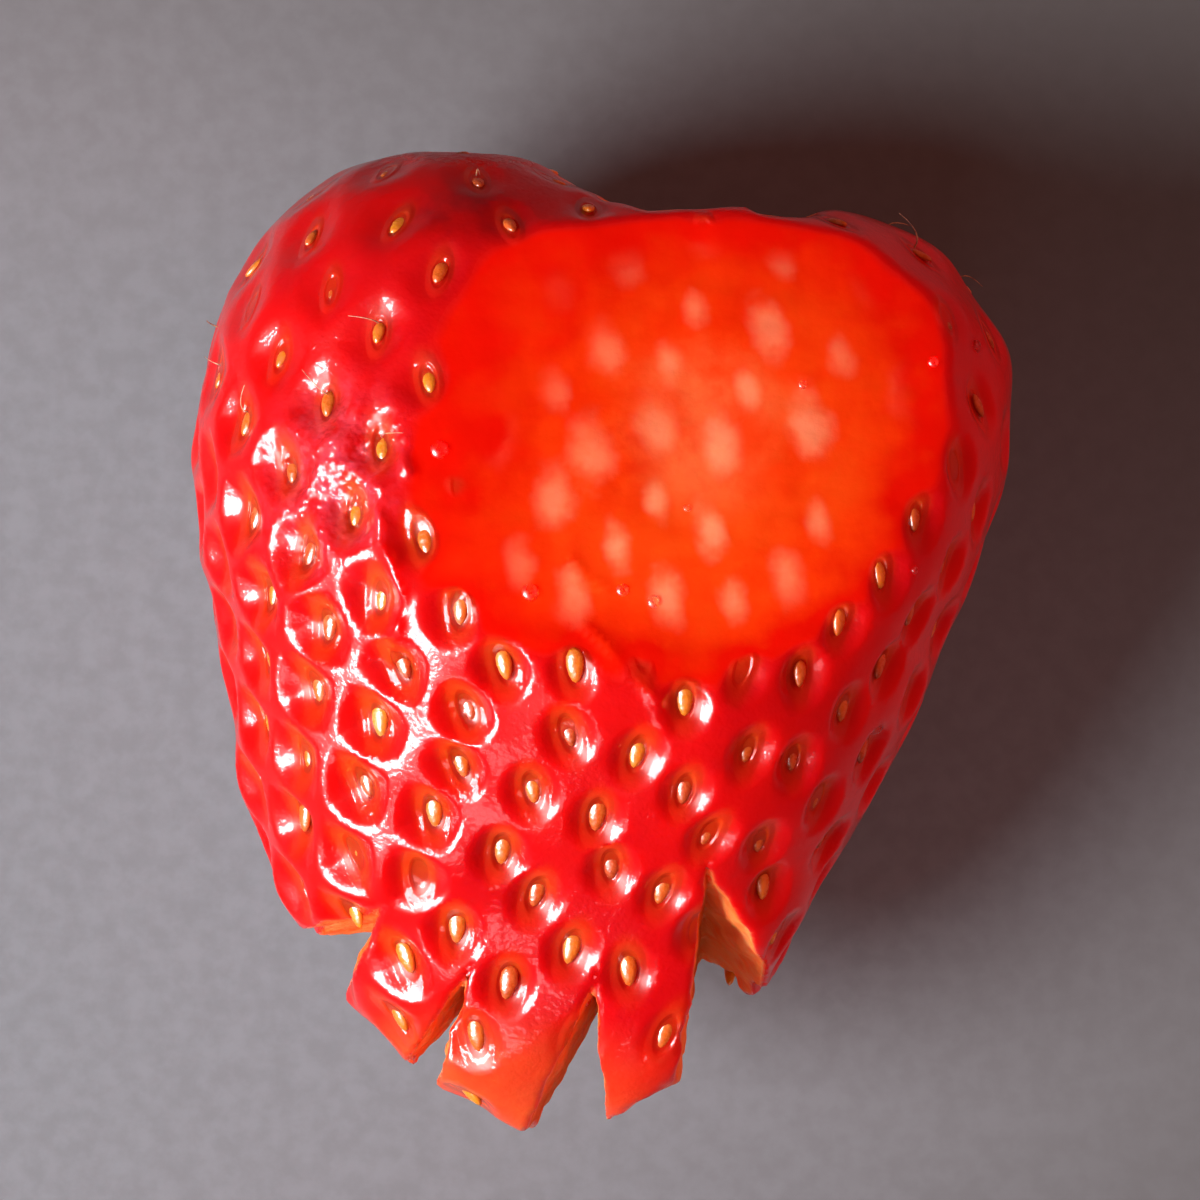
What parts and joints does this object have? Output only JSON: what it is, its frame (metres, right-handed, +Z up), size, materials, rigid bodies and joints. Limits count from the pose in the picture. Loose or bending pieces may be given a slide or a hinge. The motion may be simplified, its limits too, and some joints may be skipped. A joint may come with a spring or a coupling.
{
  "type": "strawberry",
  "caption": "Fresh strawberry, hulled, with a flat slice off its upper side and its tip cut into fingers, lying on its back.",
  "frame": {"origin": "under the middle of the berry's bounding box, on the surface that it rests on", "axes": "+Y towards the stem end and -Y towards the cut tip, +Z up through the cut face, +X to the right seen from above"},
  "size_m": [0.04, 0.0482, 0.0312],
  "materials": {
    "skin": "wet, glossy red skin with soft orange flesh where it is cut",
    "seed": "smooth golden seed, slightly glossy",
    "juice": "small clear drops of juice"
  },
  "bodies": {
    "root": {"strawberry": "skin"}
  },
  "joints": []
}
